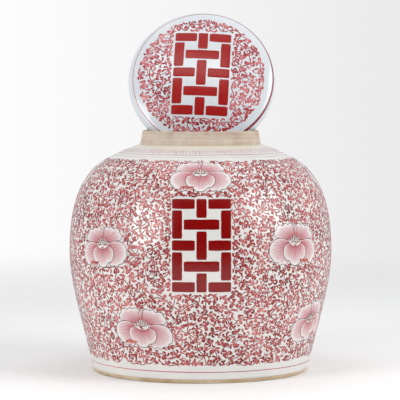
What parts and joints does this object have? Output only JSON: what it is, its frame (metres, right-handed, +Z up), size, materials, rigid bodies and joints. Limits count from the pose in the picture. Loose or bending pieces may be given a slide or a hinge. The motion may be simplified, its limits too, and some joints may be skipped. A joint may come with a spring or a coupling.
{
  "type": "ginger jar",
  "caption": "Porcelain ginger jar with iron-red scrollwork, an unglazed collar and foot, and a domed cap lid stood on edge in the mouth.",
  "frame": {"origin": "centre of the circle that the foot ring stands on", "axes": "+Z up along the jar's axis, -Y towards the front with its emblem, +X to the viewer's right"},
  "size_m": [0.262, 0.262, 0.3575],
  "materials": {
    "glazed_porcelain": "gloss",
    "biscuit_porcelain": "matte",
    "red_enamel": "satin"
  },
  "bodies": {
    "jar": {"foot_ring": "biscuit_porcelain", "jar_lower_section": "glazed_porcelain", "jar_upper_section": "glazed_porcelain", "neck_collar": "biscuit_porcelain"},
    "lid": {"lid_dome": "glazed_porcelain", "lid_skirt": "glazed_porcelain"}
  },
  "joints": [
    {"name": "lid_lift", "type": "slide", "parent": "jar", "child": "lid", "axis": [0, 0, 1], "range_m": [0, 0.12]}
  ]
}
